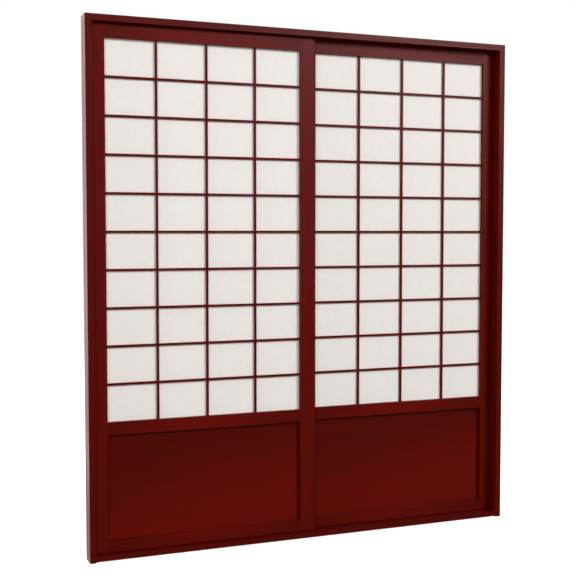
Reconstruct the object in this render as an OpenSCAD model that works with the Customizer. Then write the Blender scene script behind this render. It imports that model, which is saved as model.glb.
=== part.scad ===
// A pair of sliding shoji panels in their own wooden frame.
// X runs across the opening, -Y is the front face, Z is up; the origin is on the
// floor, midway across the frame and midway through its depth.

/* [Frame] */
// Width over the jambs
frame_w = 1830; // [1500:5:2400]
// Height over the jambs
frame_h = 2078; // [1700:1:2500]
// Depth of the jambs, head and sill, front to back
frame_d = 75; // [73:0.5:110]
// Thickness of each jamb
jamb_t = 25.5; // [20:0.5:40]
// Thickness of the head
head_t = 24.5; // [20:0.5:45]
// Thickness of the sill
sill_t = 21; // [15:0.5:40]
// Height of the underside of the sill above the jamb ends
sill_lift = 4; // [0:0.5:12]

/* [Tracks] */
// Depth of the lip in front of the front panel
front_lip = 24; // [12:0.5:25.5]
// Free space between the two panels where they pass
panel_gap = 2.5; // [1:0.1:4]
// Width of every groove in the frame
groove_w = 12; // [9:0.5:14]
// Running clearance at each side of a tongue in its groove
tongue_play = 1; // [0.5:0.1:2]
// Depth of the two grooves in the head
head_groove = 15; // [12:0.5:18]
// Depth of the two grooves in the sill
sill_groove = 5; // [3:0.5:6]
// Depth of the seat groove in each jamb
seat_groove = 8; // [7.5:0.5:12]
// Gap between the head and the shoulder of a panel
head_gap = 6; // [5.5:0.5:9]
// Gap between the sill and the shoulder of a panel
sill_gap = 4; // [2:0.5:8]
// Gap between a jamb and the shoulder of a closed panel
seat_gap = 2; // [1:0.1:4]
// How far a panel reaches up into the head groove
head_grip = 9; // [6:0.5:9.5]
// How far a closed panel reaches into its seat groove
seat_grip = 7; // [4:0.5:7]
// Space left between a fully open panel and the far jamb
open_stop = 1; // [0.5:0.5:20]

/* [Panels] */
// Thickness of the stiles and rails
panel_t = 22.5; // [21:0.5:24]
// Width of the stile that closes against a jamb, with its seat tongue
outer_stile_w = 59; // [50:1:90]
// Width of the stile at the middle, where the panels overlap
meeting_stile_w = 62; // [50:1:90]
// Overlap of the closed panels at the middle
overlap = 47; // [20:1:60]
// Height of the top rail between its shoulders
top_rail_h = 50.5; // [40:0.5:90]
// Height of the mid rail
mid_rail_h = 50; // [40:0.5:90]
// Height of the bottom rail between its shoulders
bottom_rail_h = 43; // [35:0.5:120]
// Height of the lower board that shows
board_h = 413; // [250:1:700]

/* [Lower board] */
// Thickness of the lower board
board_t = 4; // [3:0.5:4]
// Wood left behind the groove of the board
board_back = 1.9; // [1.5:0.1:3]
// Depth of the groove that holds the edges of the board
board_groove = 6; // [4:0.5:10]
// Room for the board to move at its sides and top
board_play = 0.8; // [0.3:0.1:3]
// Play of the board in the width of its groove
board_fit = 0.2; // [0.1:0.1:0.4]

/* [Lattice and paper] */
// Columns of paper fields
columns = 4; // [2:1:5]
// Rows of paper fields
rows = 10; // [4:1:12]
// Width of a lattice bar, seen from the front
bar_w = 9; // [6:0.5:12]
// Depth of a lattice bar, front to back
bar_d = 9; // [6:0.5:9]
// How far the lattice lies behind the face of the panel
bar_recess = 7; // [4:0.5:7]
// Extra height of the first and last row of fields
end_row_extra = 3; // [0:0.5:8]
// How far the upright bars of both panels stand to the right of even fields
bar_shift = 4; // [-6:0.5:6]
// Thickness of the paper
paper_t = 0.4; // [0.2:0.1:1]
// Width of the glued margin of the paper on the stiles and rails
paper_margin = 8; // [5:0.5:10]
// Room around the paper in its rebate
paper_room = 2; // [1:0.5:4]

/* [Joints in the wood] */
// Thickness of the tenons on the rails
tenon_t = 8; // [6:0.5:10]
// Length of the tenons on the rails
tenon_l = 36; // [20:1:38]
// Depth of the shoulders above and below a tenon
tenon_edge = 8; // [5:0.5:12]
// Thickness of the tenons on the lattice bars
bar_tenon_t = 5; // [3:0.5:6]
// Length of the tenons on the lattice bars
bar_tenon_l = 6; // [4:0.5:9]
// Clearance all round a tenon, a lap and the end of a tenon
fit = 0.1; // [0.05:0.05:0.2]

/* [Screws] */
// Radius of the shank of an assembly screw
screw_r = 2; // [1.5:0.1:3]
// Radius of the head of an assembly screw
screw_head_r = 4.2; // [3.5:0.1:6]
// Length of an assembly screw
screw_l = 70; // [50:1:90]
// Clearance of an assembly screw in its hole
screw_fit = 0.15; // [0.05:0.05:0.25]
// Radius of the holes that fix each jamb to a wall
fixing_r = 2.5; // [2:0.1:4]
// Radius of the countersink of a fixing hole
fixing_sink_r = 5; // [4.5:0.1:5.5]
// Number of fixing holes in a jamb
fixings = 4; // [2:1:6]
// Distance of the end fixing holes from the sill and the head
fixing_end = 115; // [60:5:300]

/* [Hidden] */
$fn = 32;
over = 1;

// Frame
x_left = -frame_w / 2;
y_front = -frame_d / 2;
clear_w = frame_w - 2 * jamb_t;
sill_top = sill_lift + sill_t;
head_low = frame_h - head_t;
opening_h = head_low - sill_top;
fixing_pitch = (opening_h - 2 * fixing_end) / (fixings - 1);

// Panels, in their own axes: the closing edge at x = 0, the face at y = 0 and
// the lower shoulder at z = 0
panel_w = (clear_w + 2 * seat_grip + overlap) / 2;
panel_h = opening_h - head_gap - sill_gap;
track_pitch = panel_t + panel_gap;
panel_z = sill_top + sill_gap;
tongue_t = groove_w - 2 * tongue_play;
tongue_y = (panel_t - tongue_t) / 2;
seat_l = seat_grip + seat_gap;
foot_l = sill_gap + sill_groove;
top_l = head_gap + head_grip;
panel_x = jamb_t - seat_grip;
travel = clear_w + seat_grip - panel_w - open_stop;

// Openings inside a panel
open_w = panel_w - outer_stile_w - meeting_stile_w;
mid_rail_z = bottom_rail_h + board_h;
lattice_z = mid_rail_z + mid_rail_h;
lattice_h = panel_h - top_rail_h - lattice_z;
top_rail_z = lattice_z + lattice_h;

// Lattice
col_w = (open_w - (columns - 1) * bar_w) / columns;
row_h = (lattice_h - (rows - 1) * bar_w - 2 * end_row_extra) / rows;
paper_y = bar_recess + bar_d;
lap = bar_d / 2;
bar_tenon_y = bar_recess + (bar_d - bar_tenon_t) / 2;

// Tenons, in the wood ahead of the paper, and the groove of the board
tenon_y = (paper_y - tenon_t) / 2;
board_slot = board_t + board_fit;
board_slot_y = panel_t - board_back - board_slot;

SIDES = ["left", "right"];

// Places of the bars in a panel; $shift is the bar shift in the panel's own axes
function upright_x(i) = outer_stile_w + i * col_w + (i - 1) * bar_w + $shift;
function cross_z(j) = lattice_z + end_row_extra + j * row_h + (j - 1) * bar_w;

// Places a panel piece, drawn for the left panel, in the panel of the given side.
// The right panel is the mirror image of the left one, one track further back.
module in_panel(side) {
    $shift = side == "left" ? bar_shift : -bar_shift;
    if (side == "left")
        translate([x_left + panel_x, y_front + front_lip, panel_z]) children();
    else
        translate([-x_left - panel_x, y_front + front_lip + track_pitch, panel_z])
            mirror([1, 0, 0]) children();
}

// Front side of the groove of a track; track 0 is the front one
function groove_y(track) = y_front + front_lip + track * track_pitch + (panel_t - groove_w) / 2;

// ---- Frame -------------------------------------------------------------

// Screw places on the ends of the head and sill: in the wood ahead of the front
// groove and in the rib between the grooves, where both are solid
function screw_ys() = [(y_front + groove_y(0)) / 2, (groove_y(0) + groove_w + groove_y(1)) / 2];
function screw_zs() = [sill_lift + sill_t / 2, head_low + head_t / 2];

module screw_shape(clearance) {
    head_l = screw_head_r - screw_r;
    rotate([0, 90, 0]) {
        cylinder(h = screw_l + clearance, r = screw_r + clearance);
        cylinder(h = head_l, r1 = screw_head_r + clearance, r2 = screw_r + clearance);
    }
}

module screws_left(clearance = 0) {
    for (y = screw_ys())
        for (z = screw_zs())
            translate([x_left, y, z]) screw_shape(clearance);
}

module screws_right(clearance = 0) {
    mirror([1, 0, 0]) screws_left(clearance);
}

// A jamb, drawn as the left one; the seat groove lies in the given track
module jamb_shape(track) {
    seat_x = x_left + jamb_t - seat_groove;
    sink_l = fixing_sink_r - fixing_r;
    difference() {
        translate([x_left, y_front, 0]) cube([jamb_t, frame_d, frame_h]);
        translate([seat_x, groove_y(track), sill_top])
            cube([seat_groove + over, groove_w, opening_h]);
        for (k = [0:fixings - 1])
            translate([x_left, groove_y(track) + groove_w / 2,
                       sill_top + fixing_end + k * fixing_pitch])
                rotate([0, 90, 0]) {
                    translate([0, 0, -over]) cylinder(h = jamb_t + over, r = fixing_r);
                    translate([0, 0, jamb_t - seat_groove - sink_l])
                        cylinder(h = sink_l, r1 = fixing_r, r2 = fixing_sink_r);
                }
        screws_left(screw_fit);
    }
}

module left_jamb() {
    color("#5a1414") jamb_shape(0);
}

module right_jamb() {
    color("#5a1414") mirror([1, 0, 0]) jamb_shape(1);
}

// A head or a sill between the jambs, with one groove for each track
module grooved_board(z, t, groove_z, groove_d) {
    difference() {
        translate([-clear_w / 2, y_front, z]) cube([clear_w, frame_d, t]);
        for (track = [0, 1])
            translate([-clear_w / 2 - over, groove_y(track), groove_z])
                cube([clear_w + 2 * over, groove_w, groove_d]);
        screws_left(screw_fit);
        screws_right(screw_fit);
    }
}

module head() {
    color("#641c1c") grooved_board(head_low, head_t, head_low - over, head_groove + over);
}

module sill() {
    color("#5c100c") grooved_board(sill_lift, sill_t, sill_top - sill_groove, sill_groove + over);
}

module left_screws() {
    color("#9c9a94") screws_left();
}

module right_screws() {
    color("#9c9a94") screws_right();
}

// ---- Panel -------------------------------------------------------------

// A block of the panel frame with the tongues that run in the sill and the head
module panel_block(x, w, z, h, foot, top) {
    translate([x, 0, z]) cube([w, panel_t, h]);
    if (foot)
        translate([x, tongue_y, -foot_l]) cube([w, tongue_t, foot_l + over]);
    if (top)
        translate([x, tongue_y, panel_h - over]) cube([w, tongue_t, top_l + over]);
}

// A tenon at both ends of a rail, or its mortise where grow is the clearance
module tenons(z, h, grow) {
    for (x = [outer_stile_w - tenon_l, outer_stile_w + open_w])
        translate([x - (x < outer_stile_w ? grow : 0), tenon_y - grow, z + tenon_edge - grow])
            cube([tenon_l + grow, tenon_t + 2 * grow, h - 2 * tenon_edge + 2 * grow]);
}

module rail_tenons(grow) {
    tenons(0, bottom_rail_h, grow);
    tenons(mid_rail_z, mid_rail_h, grow);
    tenons(top_rail_z, top_rail_h, grow);
}

// Groove for the edges of the lower board, open towards the board
module board_slot_cut() {
    translate([outer_stile_w - board_groove, board_slot_y, bottom_rail_h - board_groove])
        cube([open_w + 2 * board_groove, board_slot, board_h + 2 * board_groove]);
}

// Rebate behind the lattice that takes the glued margin of the paper
module paper_rebate() {
    edge = paper_margin + paper_room;
    translate([outer_stile_w - edge, paper_y, lattice_z - edge])
        cube([open_w + 2 * edge, panel_t, lattice_h + 2 * edge]);
}

// Tenons on the ends of the lattice bars, or their mortises
module upright_tenons(i, grow) {
    for (z = [lattice_z - bar_tenon_l, top_rail_z])
        translate([upright_x(i) - grow, bar_tenon_y - grow, z - (z < lattice_z ? grow : 0)])
            cube([bar_w + 2 * grow, bar_tenon_t + 2 * grow, bar_tenon_l + grow]);
}

module cross_tenons(j, grow) {
    for (x = [outer_stile_w - bar_tenon_l, outer_stile_w + open_w])
        translate([x - (x < outer_stile_w ? grow : 0), bar_tenon_y - grow, cross_z(j) - grow])
            cube([bar_tenon_l + grow, bar_tenon_t + 2 * grow, bar_w + 2 * grow]);
}

module stile_cuts() {
    rail_tenons(fit);
    board_slot_cut();
    paper_rebate();
    for (j = [1:rows - 1]) cross_tenons(j, fit);
}

// The outer stile closes against a jamb: its edge is cut back to a seat tongue
module outer_stile() {
    difference() {
        union() {
            panel_block(seat_l, outer_stile_w - seat_l, 0, panel_h, true, true);
            translate([0, tongue_y, 0]) cube([seat_l + over, tongue_t, panel_h]);
        }
        stile_cuts();
    }
}

module meeting_stile() {
    difference() {
        panel_block(outer_stile_w + open_w, meeting_stile_w, 0, panel_h, true, true);
        stile_cuts();
    }
}

module top_rail() {
    difference() {
        union() {
            panel_block(outer_stile_w, open_w, top_rail_z, top_rail_h, false, true);
            tenons(top_rail_z, top_rail_h, 0);
        }
        paper_rebate();
        for (i = [1:columns - 1]) upright_tenons(i, fit);
    }
}

module mid_rail() {
    difference() {
        union() {
            panel_block(outer_stile_w, open_w, mid_rail_z, mid_rail_h, false, false);
            tenons(mid_rail_z, mid_rail_h, 0);
        }
        paper_rebate();
        board_slot_cut();
        for (i = [1:columns - 1]) upright_tenons(i, fit);
    }
}

module bottom_rail() {
    difference() {
        union() {
            panel_block(outer_stile_w, open_w, 0, bottom_rail_h, true, false);
            tenons(0, bottom_rail_h, 0);
        }
        board_slot_cut();
    }
}

// The board stands on the floor of its lower groove
module lower_board() {
    side = board_groove - board_play;
    translate([outer_stile_w - side, board_slot_y + board_fit / 2, bottom_rail_h - board_groove])
        cube([open_w + 2 * side, board_t, board_h + board_groove + side]);
}

module paper() {
    translate([outer_stile_w - paper_margin, paper_y, lattice_z - paper_margin])
        cube([open_w + 2 * paper_margin, paper_t, lattice_h + 2 * paper_margin]);
}

// Upright bars are cut from behind where a cross bar passes
module upright_bar(i) {
    difference() {
        union() {
            translate([upright_x(i), bar_recess, lattice_z]) cube([bar_w, bar_d, lattice_h]);
            upright_tenons(i, 0);
        }
        for (j = [1:rows - 1])
            translate([upright_x(i) - over, bar_recess + lap - fit / 2, cross_z(j) - fit])
                cube([bar_w + 2 * over, bar_d, bar_w + 2 * fit]);
    }
}

// Cross bars are cut from the front where an upright bar passes
module cross_bar(j) {
    difference() {
        union() {
            translate([outer_stile_w, bar_recess, cross_z(j)]) cube([open_w, bar_d, bar_w]);
            cross_tenons(j, 0);
        }
        for (i = [1:columns - 1])
            translate([upright_x(i) - fit, bar_recess - over, cross_z(j) - over])
                cube([bar_w + 2 * fit, over + lap + fit / 2, bar_w + 2 * over]);
    }
}

// ---- Pieces ------------------------------------------------------------

left_jamb();
right_jamb();
head();
sill();
left_screws();
right_screws();

for (s = SIDES) {
    color("#5a1412") in_panel(s) outer_stile();
    color("#5a1412") in_panel(s) meeting_stile();
    color("#641c1c") in_panel(s) top_rail();
    color("#5c110e") in_panel(s) mid_rail();
    color("#5c110e") in_panel(s) bottom_rail();
    color("#5c0e0a") in_panel(s) lower_board();
    color("#e8e4de") in_panel(s) paper();
    for (i = [1:columns - 1])
        color("#4c0c0c") in_panel(s) upright_bar(i);
    for (j = [1:rows - 1])
        color("#4c0c0c") in_panel(s) cross_bar(j);
}
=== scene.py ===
import math

import bmesh
import bpy
from bpy.props import FloatProperty, FloatVectorProperty, PointerProperty
from mathutils import Matrix, Vector


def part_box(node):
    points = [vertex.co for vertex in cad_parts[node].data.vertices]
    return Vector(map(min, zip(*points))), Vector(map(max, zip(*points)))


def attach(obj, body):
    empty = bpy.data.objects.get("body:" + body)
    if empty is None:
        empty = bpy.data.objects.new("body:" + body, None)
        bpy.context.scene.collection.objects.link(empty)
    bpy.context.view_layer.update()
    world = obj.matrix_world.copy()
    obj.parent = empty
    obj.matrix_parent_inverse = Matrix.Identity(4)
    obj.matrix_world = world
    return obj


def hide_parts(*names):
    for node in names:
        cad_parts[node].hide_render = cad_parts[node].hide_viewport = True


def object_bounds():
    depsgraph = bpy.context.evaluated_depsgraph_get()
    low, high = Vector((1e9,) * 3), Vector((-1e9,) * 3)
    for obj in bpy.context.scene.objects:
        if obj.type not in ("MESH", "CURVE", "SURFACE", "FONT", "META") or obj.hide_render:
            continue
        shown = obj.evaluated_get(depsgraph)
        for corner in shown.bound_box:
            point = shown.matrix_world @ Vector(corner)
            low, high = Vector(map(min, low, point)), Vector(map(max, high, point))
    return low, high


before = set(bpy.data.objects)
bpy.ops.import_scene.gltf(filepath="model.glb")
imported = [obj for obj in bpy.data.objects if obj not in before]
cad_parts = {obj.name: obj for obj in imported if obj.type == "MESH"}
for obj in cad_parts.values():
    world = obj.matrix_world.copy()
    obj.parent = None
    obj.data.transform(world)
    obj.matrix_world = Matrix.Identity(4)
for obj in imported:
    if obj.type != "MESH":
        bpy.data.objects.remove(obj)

bl_info = {
    "name": "Shoji Pair",
    "version": (1, 0, 0),
    "blender": (4, 5, 0),
    "location": "View3D > Sidebar > Shoji Pair",
    "description": "Finishes a pair of sliding shoji panels and their frame around the packed parts",
    "category": "Object",
}

# All lengths are in metres. X runs across the opening, -Y is the lattice side and Z is up.
SIDES = ("left", "right")
LOW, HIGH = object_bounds()
MIDDLE = (LOW + HIGH) / 2

# Noise steps a metre across the grain twice, then along it.
BAND_STEPS = (28.0, 28.0, 1.1)
STREAK_STEPS = (125.0, 125.0, 2.0)
PORE_STEPS = (1500.0, 1500.0, 45.0)
# Noise steps a metre along X, Y and Z, for upright fibres and then for level ones.
FIBRE_STEPS = ((700.0, 1.0, 40.0), (45.0, 1.0, 620.0))

# The cross recess of a screw, in shares of the radius of its head: at the face and at the bottom.
RECESS_FACE_ARM, RECESS_FACE_HALF = 0.58, 0.14
RECESS_FLOOR_ARM, RECESS_FLOOR_HALF = 0.30, 0.09
RECESS_DEPTH = 0.42
# The tip of a screw, as a share of the radius of its shank.
SCREW_TIP = 0.15

BAR_EDGE_SHARE = 0.7  # eased edge of the thin bars, as a share of the edge of the thick members
BOARD_FIGURE = 0.5  # how bold the boards' grain is beside that of the solid wood


# ---- Settings ------------------------------------------------------------


def colour(name, default, description):
    """A linear colour property."""
    return FloatVectorProperty(
        name=name, description=description, default=default, subtype="COLOR", size=3, min=0.0, max=1.0
    )


def share(name, default, description):
    """A plain number from 0 to 1."""
    return FloatProperty(name=name, description=description, default=default, min=0.0, max=1.0)


def length(name, default, description):
    """A length in metres."""
    return FloatProperty(name=name, description=description, default=default, min=0.0, unit="LENGTH")


def angle(name, degrees, description):
    """An angle, given in degrees."""
    return FloatProperty(name=name, description=description, default=math.radians(degrees), subtype="ANGLE")


class LacquerSettings(bpy.types.PropertyGroup):
    """The stained and lacquered wood."""

    stile: colour("Stile stain", (0.112, 0.0026, 0.0005), "Colour of the stiles")
    rail: colour("Rail stain", (0.131, 0.0031, 0.0006), "Colour of the rails at their middle")
    jamb: colour("Frame stain", (0.097, 0.0023, 0.0005), "Colour of the jambs, the head and the sill")
    board: colour("Board stain", (0.130, 0.0031, 0.0006), "Lightest colour of the lower boards")
    bar: colour("Bar stain", (0.108, 0.0022, 0.0004), "Colour of the thin lattice bars")
    dark_grain: share("Dark grain", 0.59, "Depth of the dark grain as a share of the stain")
    # Painted shade: the rails are darkened towards their ends, where they meet the stiles.
    rail_end_shade_depth: share("Rail end shade", 0.71, "Depth of the painted shade at the ends of a rail")
    # Painted shade and light: a board is darkened at its upper left corner, as shade under the mid rail and
    # beside the stile, and left lightest at its lower right.
    board_corner_shade: share("Board corner shade", 0.64, "Depth of the painted shade at the dark corner of a board")
    gloss: share("Roughness", 0.34, "Roughness of the lacquer")
    edge: length("Eased edge", 0.0007, "Radius of the eased edges of the frame and the panels")


class PaperSettings(bpy.types.PropertyGroup):
    """The paper behind the lattice."""

    white: colour("Paper", (0.825, 0.780, 0.754), "Colour of the paper between its fibres")
    fibre: colour("Fibres", (0.735, 0.685, 0.655), "Colour of the long fibres")


class ScrewSettings(bpy.types.PropertyGroup):
    """The assembly screws in the outer faces of the jambs."""

    head: length("Head", 0.0042, "Radius of a screw's head")
    shank: length("Shank", 0.0020, "Radius of a screw's shank")


class StageSettings(bpy.types.PropertyGroup):
    """The camera, the floor and the light."""

    eye: FloatVectorProperty(
        name="Camera",
        description="Place of the camera",
        default=(-1.6671, -3.9615, 1.2634),
        subtype="TRANSLATION",
        size=3,
    )
    turn: angle("Turn", 21.731, "Turn of the camera towards +X")
    dip: angle("Dip", 3.0426, "Tilt of the camera below the horizon")
    lens: FloatProperty(
        name="Lens", description="Focal length in millimetres on a 36 mm sensor", default=65.33, min=1.0
    )
    floor: colour("Floor", (0.82, 0.82, 0.82), "Colour of the floor")
    floor_glow: share("Floor glow", 0.75, "Light that the floor gives by itself")
    room_front: share("Room in front", 0.18, "Brightness of the room on the lattice side")
    room_back: share("Room behind", 0.85, "Brightness of the room on the paper side")


class ShojiSettings(bpy.types.PropertyGroup):
    """All settings of the shoji pair."""

    lacquer: PointerProperty(type=LacquerSettings)
    paper: PointerProperty(type=PaperSettings)
    screws: PointerProperty(type=ScrewSettings)
    stage: PointerProperty(type=StageSettings)


def settings():
    return bpy.context.scene.shoji_pair


# ---- Shader helpers ------------------------------------------------------


def node(tree, kind, **values):
    """A new node with its inputs set by name or number, and its attributes by name."""
    made = tree.nodes.new(kind)
    for key, value in values.items():
        if key.startswith("in_"):
            slot = key[3:]
            made.inputs[int(slot) if slot.isdigit() else slot.replace("_", " ")].default_value = value
        else:
            setattr(made, key, value)
    return made


def link(tree, source, target):
    tree.links.new(source, target)


def group(name, inputs, outputs):
    """An empty shader group with typed sockets: name -> (type, default)."""
    tree = bpy.data.node_groups.new(name, "ShaderNodeTree")
    for label, (kind, default) in inputs.items():
        socket = tree.interface.new_socket(label, in_out="INPUT", socket_type="NodeSocket" + kind)
        if default is not None:
            socket.default_value = default
    for label, kind in outputs.items():
        tree.interface.new_socket(label, in_out="OUTPUT", socket_type="NodeSocket" + kind)
    return tree, tree.nodes.new("NodeGroupInput"), tree.nodes.new("NodeGroupOutput")


def scale_by(tree, vector, factors):
    """The vector with each part multiplied by its factor."""
    made = node(tree, "ShaderNodeVectorMath", operation="MULTIPLY")
    link(tree, vector, made.inputs[0])
    made.inputs[1].default_value = factors
    return made.outputs["Vector"]


def noise(tree, vector, scale, detail, roughness=0.5, distortion=0.0):
    """The height of a noise texture."""
    made = node(tree, "ShaderNodeTexNoise", in_Scale=scale, in_Detail=detail)
    made.inputs["Roughness"].default_value = roughness
    made.inputs["Distortion"].default_value = distortion
    link(tree, vector, made.inputs["Vector"])
    return made.outputs["Fac"]


def ramp(tree, value, low, high, out_low=0.0, out_high=1.0):
    """The value mapped smoothly from one range to another."""
    made = node(tree, "ShaderNodeMapRange", interpolation_type="SMOOTHSTEP")
    for key, number in zip(("From Min", "From Max", "To Min", "To Max"), (low, high, out_low, out_high)):
        made.inputs[key].default_value = number
    link(tree, value, made.inputs["Value"])
    return made.outputs["Result"]


def times(tree, a, b):
    made = node(tree, "ShaderNodeMath", operation="MULTIPLY")
    link(tree, a, made.inputs[0])
    if isinstance(b, float):
        made.inputs[1].default_value = b
    else:
        link(tree, b, made.inputs[1])
    return made.outputs["Value"]


def blend(tree, fac, a, b):
    """Mixes two colours, each a socket or a plain colour."""
    made = node(tree, "ShaderNodeMix", data_type="RGBA")
    link(tree, fac, made.inputs["Factor"])
    for socket, value in ((made.inputs[6], a), (made.inputs[7], b)):
        if isinstance(value, bpy.types.NodeSocket):
            link(tree, value, socket)
        else:
            socket.default_value = (*value, 1.0)
    return made.outputs[2]


def bump(tree, height, strength, distance):
    made = node(tree, "ShaderNodeBump", in_Strength=strength, in_Distance=distance)
    link(tree, height, made.inputs["Height"])
    return made.outputs["Normal"]


# ---- Shared effects ------------------------------------------------------


def wood_grain_group():
    """Grain that runs along Z of the given coordinates: bands, fine streaks, pores and a height."""
    tree, source, sink = group(
        "wood grain",
        {"Vector": ("Vector", None), "Seed": ("Float", 0.0)},
        {"Bands": "Float", "Streaks": "Float", "Pores": "Float", "Height": "Float"},
    )
    shift = node(tree, "ShaderNodeCombineXYZ")
    for axis, step in (("X", 1.7), ("Y", 2.3), ("Z", 5.1)):
        link(tree, times(tree, source.outputs["Seed"], step), shift.inputs[axis])
    moved = node(tree, "ShaderNodeVectorMath", operation="ADD")
    link(tree, source.outputs["Vector"], moved.inputs[0])
    link(tree, shift.outputs["Vector"], moved.inputs[1])
    along = moved.outputs["Vector"]

    bands = noise(tree, scale_by(tree, along, BAND_STEPS), 1.0, 3.0, roughness=0.55, distortion=0.6)
    streaks = noise(tree, scale_by(tree, along, STREAK_STEPS), 1.0, 2.0, distortion=0.3)
    pores = ramp(tree, noise(tree, scale_by(tree, along, PORE_STEPS), 1.0, 2.0), 0.60, 0.74)
    link(tree, ramp(tree, bands, 0.36, 0.66), sink.inputs["Bands"])
    link(tree, ramp(tree, streaks, 0.42, 0.60), sink.inputs["Streaks"])
    link(tree, pores, sink.inputs["Pores"])
    height = node(tree, "ShaderNodeMath", operation="SUBTRACT")
    link(tree, times(tree, streaks, 0.5), height.inputs[0])
    link(tree, times(tree, pores, 0.6), height.inputs[1])
    link(tree, height.outputs["Value"], sink.inputs["Height"])
    return tree


def paper_fibre_group():
    """Long fibres, upright and level, and clouds of hand-made paper."""
    tree, source, sink = group(
        "paper fibres",
        {"Vector": ("Vector", None)},
        {"Fibres": "Float", "Clouds": "Float", "Height": "Float"},
    )
    vector = source.outputs["Vector"]
    warp = node(tree, "ShaderNodeTexNoise", in_Scale=14.0, in_Detail=2.0)
    link(tree, vector, warp.inputs["Vector"])
    bent = node(tree, "ShaderNodeVectorMath", operation="SCALE", in_Scale=0.10)
    link(tree, warp.outputs["Color"], bent.inputs[0])
    wavy = node(tree, "ShaderNodeVectorMath", operation="ADD")
    link(tree, vector, wavy.inputs[0])
    link(tree, bent.outputs["Vector"], wavy.inputs[1])
    threads = []
    for steps in FIBRE_STEPS:
        thread = noise(tree, scale_by(tree, wavy.outputs["Vector"], steps), 1.0, 1.0)
        threads.append(ramp(tree, thread, 0.66, 0.76))
    both = node(tree, "ShaderNodeMath", operation="MAXIMUM")
    link(tree, threads[0], both.inputs[0])
    link(tree, threads[1], both.inputs[1])
    clouds = noise(tree, vector, 38.0, 4.0, 0.6)
    link(tree, both.outputs["Value"], sink.inputs["Fibres"])
    link(tree, ramp(tree, clouds, 0.32, 0.68), sink.inputs["Clouds"])
    link(tree, both.outputs["Value"], sink.inputs["Height"])
    return tree


def rail_end_shade_group():
    """Painted shade that darkens a rail towards both ends, where it meets the stiles, and leaves it lightest
    around its middle.
    """
    tree, source, sink = group(
        "rail end shade",
        {"Vector": ("Vector", None), "Start": ("Float", 0.0), "End": ("Float", 1.0), "Depth": ("Float", 0.7)},
        {"Shade": "Float"},
    )
    parts = node(tree, "ShaderNodeSeparateXYZ")
    link(tree, source.outputs["Vector"], parts.inputs["Vector"])
    across = node(tree, "ShaderNodeMapRange", in_To_Min=-1.0, in_To_Max=1.0)
    link(tree, parts.outputs["X"], across.inputs["Value"])
    link(tree, source.outputs["Start"], across.inputs["From Min"])
    link(tree, source.outputs["End"], across.inputs["From Max"])
    away = node(tree, "ShaderNodeMath", operation="ABSOLUTE")
    link(tree, across.outputs["Result"], away.inputs[0])
    depth = node(tree, "ShaderNodeMapRange", in_From_Min=1.0, in_From_Max=0.25, in_To_Max=1.0)
    link(tree, away.outputs["Value"], depth.inputs["Value"])
    link(tree, source.outputs["Depth"], depth.inputs["To Min"])
    link(tree, depth.outputs["Result"], sink.inputs["Shade"])
    return tree


def board_shade_group():
    """Painted shade and light on a board: darkest at its upper left corner, under the mid rail and beside the
    stile, and lightest at its lower right one, towards the floor.
    """
    tree, source, sink = group(
        "board shade",
        {
            "Vector": ("Vector", None),
            "Low": ("Vector", None),
            "High": ("Vector", None),
            "Depth": ("Float", 0.6),
        },
        {"Shade": "Float"},
    )
    shares = []
    for label in ("Vector", "Low", "High"):
        parts = node(tree, "ShaderNodeSeparateXYZ")
        link(tree, source.outputs[label], parts.inputs["Vector"])
        shares.append(parts)
    point, low, high = shares
    sums = []
    for axis, at_low, at_high in (("X", -0.2, 0.15), ("Z", 1.15, 0.0)):
        made = node(tree, "ShaderNodeMapRange", in_To_Min=at_low, in_To_Max=at_high)
        link(tree, point.outputs[axis], made.inputs["Value"])
        link(tree, low.outputs[axis], made.inputs["From Min"])
        link(tree, high.outputs[axis], made.inputs["From Max"])
        sums.append(made.outputs["Result"])
    both = node(tree, "ShaderNodeMath", operation="ADD")
    link(tree, sums[0], both.inputs[0])
    link(tree, sums[1], both.inputs[1])
    tone = node(tree, "ShaderNodeMapRange", interpolation_type="SMOOTHSTEP")
    link(tree, both.outputs["Value"], tone.inputs["Value"])
    link(tree, source.outputs["Depth"], tone.inputs["To Min"])
    link(tree, tone.outputs["Result"], sink.inputs["Shade"])
    return tree


def shared(name, maker):
    """The shared effect of this name, built once."""
    return bpy.data.node_groups.get(name) or maker()


# ---- Materials -----------------------------------------------------------


def material(name):
    """A new material with a Principled BSDF; gives the material, its tree and the shader."""
    made = bpy.data.materials.new(name)
    made.use_nodes = True
    tree = made.node_tree
    return made, tree, tree.nodes["Principled BSDF"]


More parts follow.
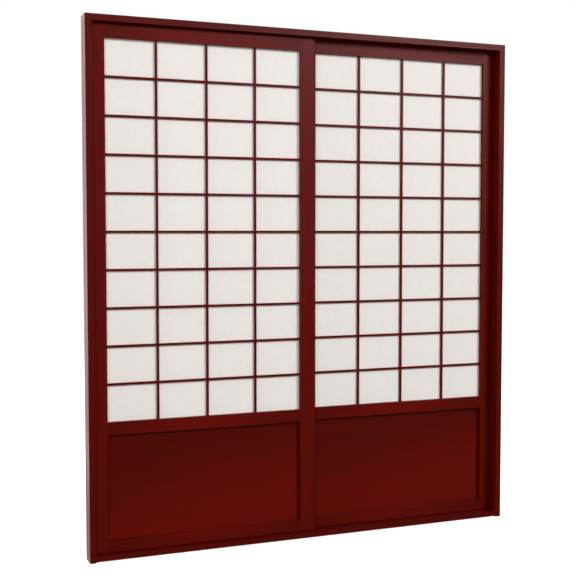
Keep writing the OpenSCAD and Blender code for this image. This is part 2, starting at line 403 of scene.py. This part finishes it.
def lacquered_wood(name, stain, along, seed, tone=None, figure=1.0):
    """Stained wood under satin lacquer, with its grain along one axis.

    Figure is how bold the grain is. A tone is a function that takes the tree and the point, and gives
    a factor of painted shade that darkens the wood.
    """
    s = settings().lacquer
    dark = tuple(c * s.dark_grain for c in stain)
    pore = tuple(c * 0.45 for c in dark)
    made, tree, shader = material(name)
    place = node(tree, "ShaderNodeTexCoord")
    turned = node(tree, "ShaderNodeMapping")
    if along == "X":
        turned.inputs["Rotation"].default_value = (0.0, math.radians(90), 0.0)
    link(tree, place.outputs["Object"], turned.inputs["Vector"])
    grain = node(tree, "ShaderNodeGroup", node_tree=shared("wood grain", wood_grain_group), in_Seed=seed)
    link(tree, turned.outputs["Vector"], grain.inputs["Vector"])

    wood = blend(tree, times(tree, grain.outputs["Bands"], 0.34 * figure), stain, dark)
    wood = blend(tree, times(tree, grain.outputs["Streaks"], 0.30 * figure), wood, dark)
    wood = blend(tree, times(tree, grain.outputs["Pores"], 0.35), wood, pore)
    # Painted shade: the tone darkens the wood's colour where shade is painted in.
    if tone:
        shaded = node(tree, "ShaderNodeVectorMath", operation="SCALE")
        link(tree, wood, shaded.inputs[0])
        link(tree, tone(tree, place.outputs["Object"]), shaded.inputs["Scale"])
        wood = shaded.outputs["Vector"]
    link(tree, wood, shader.inputs["Base Color"])
    gloss = ramp(tree, grain.outputs["Streaks"], 0.0, 1.0, s.gloss - 0.03, s.gloss + 0.07)
    link(tree, gloss, shader.inputs["Roughness"])
    link(tree, bump(tree, grain.outputs["Height"], 0.10, 0.0004), shader.inputs["Normal"])
    shader.inputs["IOR"].default_value = 1.47
    shader.inputs["Specular IOR Level"].default_value = 0.105
    return made


def shoji_paper(name, white, fibre):
    """White paper with faint long fibres and clouds."""
    made, tree, shader = material(name)
    place = node(tree, "ShaderNodeTexCoord")
    fibres = node(tree, "ShaderNodeGroup", node_tree=shared("paper fibres", paper_fibre_group))
    link(tree, place.outputs["Object"], fibres.inputs["Vector"])
    cloudy = blend(tree, times(tree, fibres.outputs["Clouds"], 0.22), white, fibre)
    threaded = blend(tree, times(tree, fibres.outputs["Fibres"], 0.40), cloudy, fibre)
    link(tree, threaded, shader.inputs["Base Color"])
    link(tree, bump(tree, fibres.outputs["Height"], 0.25, 0.0001), shader.inputs["Normal"])
    shader.inputs["Roughness"].default_value = 0.92
    shader.inputs["Specular IOR Level"].default_value = 0.2
    return made


def zinc_steel(name):
    """Zinc-plated screw steel with a fine turned mottling."""
    made, tree, shader = material(name)
    place = node(tree, "ShaderNodeTexCoord")
    mottle = noise(tree, place.outputs["Object"], 900.0, 3.0)
    link(tree, blend(tree, mottle, (0.42, 0.40, 0.36), (0.62, 0.60, 0.56)), shader.inputs["Base Color"])
    link(tree, ramp(tree, mottle, 0.2, 0.8, 0.24, 0.42), shader.inputs["Roughness"])
    shader.inputs["Metallic"].default_value = 1.0
    return made


# ---- Pieces --------------------------------------------------------------


def finish_node(name, finish, edge=0.0, segments=2):
    """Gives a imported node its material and, if asked, eased edges."""
    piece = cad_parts[name]
    piece.data.materials.clear()
    piece.data.materials.append(finish)
    for polygon in piece.data.polygons:
        polygon.material_index = 0
    if edge > 0:
        weld = piece.modifiers.new("weld", "WELD")
        weld.merge_threshold = 1e-5
        ease = piece.modifiers.new("ease", "BEVEL")
        ease.width = edge
        ease.segments = segments
        ease.limit_method = "ANGLE"
        ease.angle_limit = math.radians(40)
        ease.use_clamp_overlap = True
        ease.harden_normals = True


def add_screw(mesh, place, inward, reach, s):
    """A countersunk screw along X, from its head's face inwards, with a cross cut into the face."""
    sides = 32

    def ring(radius, depth):
        made = []
        for i in range(sides):
            turn = math.tau * i / sides
            point = Vector((inward * depth, radius * math.cos(turn), radius * math.sin(turn)))
            made.append(mesh.verts.new(place + point))
        return made

    def bridge(near, far):
        for i in range(len(near)):
            j = (i + 1) % len(near)
            mesh.faces.new((near[i], near[j], far[j], far[i]))

    rings = [
        ring(s.head, 0.0),
        ring(s.shank, s.head - s.shank),
        ring(s.shank, reach - 2 * s.shank),
        ring(s.shank * SCREW_TIP, reach),
    ]
    for near, far in zip(rings, rings[1:]):
        bridge(near, far)
    mesh.faces.new(rings[-1])

    def cross(arm, half, depth):
        corners = []
        for quarter in range(4):
            turn = Matrix.Rotation(math.radians(90) * quarter, 3, "X")
            for y, z in ((arm, -half), (arm, half), (half, half)):
                corners.append(mesh.verts.new(place + turn @ Vector((inward * depth, y, z))))
        return corners

    rim = cross(s.head * RECESS_FACE_ARM, s.head * RECESS_FACE_HALF, 0.0)
    floor = cross(s.head * RECESS_FLOOR_ARM, s.head * RECESS_FLOOR_HALF, s.head * RECESS_DEPTH)
    bridge(rim, floor)
    mesh.faces.new(floor)
    edges = []
    for loop in (rings[0], rim):
        for a, b in zip(loop, loop[1:] + loop[:1]):
            edges.append(mesh.edges.get((a, b)))
    bmesh.ops.triangle_fill(mesh, edges=edges, use_beauty=True)
    bmesh.ops.recalc_face_normals(mesh, faces=mesh.faces)


def visible_span(side):
    """Where the rails and the board of a panel start and end between its stiles."""
    stiles = [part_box(f"{side}_{member}") for member in ("outer_stile", "meeting_stile")]
    left, right = sorted(stiles, key=lambda ends: ends[0][0])
    return left[1][0], right[0][0]


def rail_end_shade(side):
    """The painted shade towards the ends of the rails of a panel, for lacquered_wood."""
    start, end = visible_span(side)

    def tone(tree, point):
        made = node(tree, "ShaderNodeGroup", node_tree=shared("rail end shade", rail_end_shade_group))
        link(tree, point, made.inputs["Vector"])
        made.inputs["Start"].default_value = start
        made.inputs["End"].default_value = end
        made.inputs["Depth"].default_value = settings().lacquer.rail_end_shade_depth
        return made.outputs["Shade"]

    return tone


def board_shade(side):
    """The painted shade and light of the board of a panel, for lacquered_wood."""
    start, end = visible_span(side)
    low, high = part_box(f"{side}_bottom_rail")[1][2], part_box(f"{side}_mid_rail")[0][2]

    def tone(tree, point):
        made = node(tree, "ShaderNodeGroup", node_tree=shared("board shade", board_shade_group))
        link(tree, point, made.inputs["Vector"])
        made.inputs["Low"].default_value = (start, 0.0, low)
        made.inputs["High"].default_value = (end, 0.0, high)
        made.inputs["Depth"].default_value = settings().lacquer.board_corner_shade
        return made.outputs["Shade"]

    return tone


class ShojiOperator(bpy.types.Operator):
    """Base of the operators that finish the shoji pair."""

    bl_options = {"REGISTER", "UNDO"}


class SHOJI_OT_stage(ShojiOperator):
    """Makes the camera, the pale floor and the soft light"""

    bl_idname = "shoji.stage"
    bl_label = "Stage"

    def execute(self, context):
        s = settings().stage
        make_camera(context.scene, s)
        make_floor(tuple(s.floor), s.floor_glow)
        make_lights()
        make_surroundings(context.scene, s)
        return {"FINISHED"}


class SHOJI_OT_frame(ShojiOperator):
    """Finishes the jambs, the head and the sill"""

    bl_idname = "shoji.frame"
    bl_label = "Frame"

    def execute(self, context):
        s = settings().lacquer
        members = {"left_jamb": "Z", "right_jamb": "Z", "head": "X", "sill": "X"}
        for seed, (name, along) in enumerate(members.items(), start=1):
            finish = lacquered_wood(name + "_lacquer", tuple(s.jamb), along, float(seed))
            finish_node(name, finish, s.edge)
        return {"FINISHED"}


class SHOJI_OT_panels(ShojiOperator):
    """Finishes the stiles and rails of both panels"""

    bl_idname = "shoji.panels"
    bl_label = "Stiles and Rails"

    def execute(self, context):
        s = settings().lacquer
        members = ("outer_stile", "meeting_stile", "top_rail", "mid_rail", "bottom_rail")
        for number, side in enumerate(SIDES):
            for step, member in enumerate(members):
                name = f"{side}_{member}"
                seed = 7.0 + 5 * number + step
                if "stile" in member:
                    finish = lacquered_wood(name + "_lacquer", tuple(s.stile), "Z", seed)
                else:
                    # Painted shade: the rails darken towards their ends.
                    finish = lacquered_wood(name + "_lacquer", tuple(s.rail), "X", seed, rail_end_shade(side))
                finish_node(name, finish, s.edge)
        return {"FINISHED"}


class SHOJI_OT_boards(ShojiOperator):
    """Finishes the lower boards"""

    bl_idname = "shoji.boards"
    bl_label = "Lower Boards"

    def execute(self, context):
        s = settings().lacquer
        for number, side in enumerate(SIDES):
            name = f"{side}_lower_board"
            # Painted shade and light: each board darkens towards its upper left corner.
            finish = lacquered_wood(
                name + "_lacquer", tuple(s.board), "X", 21.0 + number, board_shade(side), BOARD_FIGURE
            )
            finish_node(name, finish)
        return {"FINISHED"}


class SHOJI_OT_lattice(ShojiOperator):
    """Finishes the lattice bars"""

    bl_idname = "shoji.lattice"
    bl_label = "Lattice Bars"

    def execute(self, context):
        s = settings().lacquer
        uprights = lacquered_wood("upright_bar_lacquer", tuple(s.bar), "Z", 31.0)
        crosses = lacquered_wood("cross_bar_lacquer", tuple(s.bar), "X", 32.0)
        edge = s.edge * BAR_EDGE_SHARE
        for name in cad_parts:
            if "_upright_bar_" in name:
                finish_node(name, uprights, edge, segments=1)
            elif "_cross_bar_" in name:
                finish_node(name, crosses, edge, segments=1)
        return {"FINISHED"}


class SHOJI_OT_paper(ShojiOperator):
    """Finishes the sheets of paper"""

    bl_idname = "shoji.paper"
    bl_label = "Paper"

    def execute(self, context):
        s = settings().paper
        sheet_paper = shoji_paper("shoji_paper", tuple(s.white), tuple(s.fibre))
        for side in SIDES:
            finish_node(f"{side}_paper", sheet_paper)
        return {"FINISHED"}


class SHOJI_OT_screws(ShojiOperator):
    """Makes the countersunk assembly screws with their cross recesses"""

    bl_idname = "shoji.screws"
    bl_label = "Screws"

    def execute(self, context):
        s = settings().screws
        steel = zinc_steel("screw_zinc")
        for side in SIDES:
            low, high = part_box(f"{side}_screws")
            face_x, inward = (low[0], 1.0) if side == "left" else (high[0], -1.0)
            data = bpy.data.meshes.new(f"{side}_screw_set")
            mesh = bmesh.new()
            for y in (low[1] + s.head, high[1] - s.head):
                for z in (low[2] + s.head, high[2] - s.head):
                    add_screw(mesh, Vector((face_x, y, z)), inward, high[0] - low[0], s)
            mesh.normal_update()
            mesh.to_mesh(data)
            mesh.free()
            piece = bpy.data.objects.new(f"{side}_screw_set", data)
            data.materials.append(steel)
            context.scene.collection.objects.link(piece)
            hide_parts(f"{side}_screws")
            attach(piece, "frame")
        return {"FINISHED"}


# ---- Stage ---------------------------------------------------------------


def make_camera(scene, s):
    """The camera, turned and tilted without roll or shift."""
    data = bpy.data.cameras.new("camera")
    data.lens = s.lens
    data.sensor_width = 36.0
    data.clip_end = 100.0
    camera = bpy.data.objects.new("camera", data)
    camera.location = s.eye
    camera.rotation_euler = (math.radians(90) - s.dip, 0.0, -s.turn)
    scene.collection.objects.link(camera)
    scene.camera = camera


def make_floor(tint, glow):
    """A wide plain floor. It glows a little, and stays out of the gloss and the bounce."""
    reach = 20.0
    mesh = bmesh.new()
    bmesh.ops.create_grid(mesh, x_segments=4, y_segments=4, size=reach)
    data = bpy.data.meshes.new("floor")
    mesh.to_mesh(data)
    mesh.free()
    floor = bpy.data.objects.new("floor", data)
    made, tree, shader = material("floor_pale")
    place = node(tree, "ShaderNodeTexCoord")
    speckle = noise(tree, place.outputs["Object"], 6.0, 2.0)
    link(tree, blend(tree, speckle, tint, tuple(c * 0.985 for c in tint)), shader.inputs["Base Color"])
    shader.inputs["Roughness"].default_value = 0.9
    shader.inputs["Specular IOR Level"].default_value = 0.1
    shader.inputs["Emission Color"].default_value = (1.0, 1.0, 1.0, 1.0)
    shader.inputs["Emission Strength"].default_value = glow
    data.materials.append(made)
    floor.visible_glossy = False
    floor.visible_diffuse = False
    bpy.context.scene.collection.objects.link(floor)


def soft_light(name, place, target, size, power):
    """A white area light that faces its target. The size is in metres and the power in watts."""
    data = bpy.data.lights.new(name, "AREA")
    data.shape = "RECTANGLE"
    data.size, data.size_y = size
    data.energy = power
    lamp = bpy.data.objects.new(name, data)
    lamp.location = place
    lamp.rotation_euler = (Vector(target) - Vector(place)).to_track_quat("-Z", "Y").to_euler()
    bpy.context.scene.collection.objects.link(lamp)


def make_lights():
    """Soft lights from the left and behind, and three high at the right that haze the lacquer."""
    centre = tuple(MIDDLE)
    foot = (0.0, 0.0, 0.5)
    left_edge = (LOW.x, 0.0, MIDDLE.z)
    soft_light("key", (-3.2, -5.0, 4.2), centre, (3.0, 3.0), 128.0)
    soft_light("low", (-2.6, -4.0, 0.3), foot, (1.5, 0.5), 26.0)
    soft_light("side", (-5.0, 0.5, 2.5), centre, (3.0, 3.0), 300.0)
    soft_light("haze_near", (3.6, -5.4, 4.4), centre, (2.0, 2.0), 60.0)
    soft_light("haze_right", (5.0, -5.5, 3.4), centre, (2.0, 2.0), 75.0)
    soft_light("haze_far", (5.5, -9.0, 6.0), centre, (3.0, 3.0), 596.0)
    soft_light("rim", (-2.3, 6.0, 1.3), left_edge, (4.0, 5.0), 70.0)


def make_surroundings(scene, s):
    """A white room that is bright behind the paper and dim ahead of the lattice, and white when seen."""
    world = bpy.data.worlds.new("room")
    scene.world = world
    world.use_nodes = True
    tree = world.node_tree
    shader = tree.nodes["Background"]
    place = node(tree, "ShaderNodeTexCoord")
    parts = node(tree, "ShaderNodeSeparateXYZ")
    link(tree, place.outputs["Generated"], parts.inputs["Vector"])
    lit = ramp(tree, parts.outputs["Y"], 0.0, 0.35, s.room_front, s.room_back)
    seen = node(tree, "ShaderNodeLightPath")
    strength = node(tree, "ShaderNodeMix", data_type="FLOAT")
    link(tree, seen.outputs["Is Camera Ray"], strength.inputs["Factor"])
    link(tree, lit, strength.inputs[2])
    strength.inputs[3].default_value = 1.0
    link(tree, strength.outputs[0], shader.inputs["Strength"])
    shader.inputs["Color"].default_value = (1.0, 1.0, 1.0, 1.0)
    scene.view_settings.view_transform = "Standard"


# ---- Panel and running ---------------------------------------------------

STEPS = (
    SHOJI_OT_stage,
    SHOJI_OT_frame,
    SHOJI_OT_panels,
    SHOJI_OT_boards,
    SHOJI_OT_lattice,
    SHOJI_OT_paper,
    SHOJI_OT_screws,
)


class SHOJI_PT_sidebar(bpy.types.Panel):
    """Lists the steps that finish the shoji pair"""

    bl_idname = "SHOJI_PT_sidebar"
    bl_label = "Shoji Pair"
    bl_space_type = "VIEW_3D"
    bl_region_type = "UI"
    bl_category = "Shoji Pair"

    def draw(self, context):
        for step in STEPS:
            self.layout.operator(step.bl_idname)
        for part in (settings().lacquer, settings().paper, settings().screws, settings().stage):
            box = self.layout.box()
            for name in part.bl_rna.properties.keys():
                if name not in ("rna_type", "name"):
                    box.prop(part, name)


GROUPS = (LacquerSettings, PaperSettings, ScrewSettings, StageSettings, ShojiSettings)
CLASSES = (*GROUPS, *STEPS, SHOJI_PT_sidebar)


def register():
    for one in CLASSES:
        bpy.utils.register_class(one)
    bpy.types.Scene.shoji_pair = PointerProperty(type=ShojiSettings)


def unregister():
    del bpy.types.Scene.shoji_pair
    for one in reversed(CLASSES):
        bpy.utils.unregister_class(one)


def main():
    register()
    for step in STEPS:
        area, name = step.bl_idname.split(".")
        getattr(getattr(bpy.ops, area), name)()


if __name__ == "__main__":
    main()
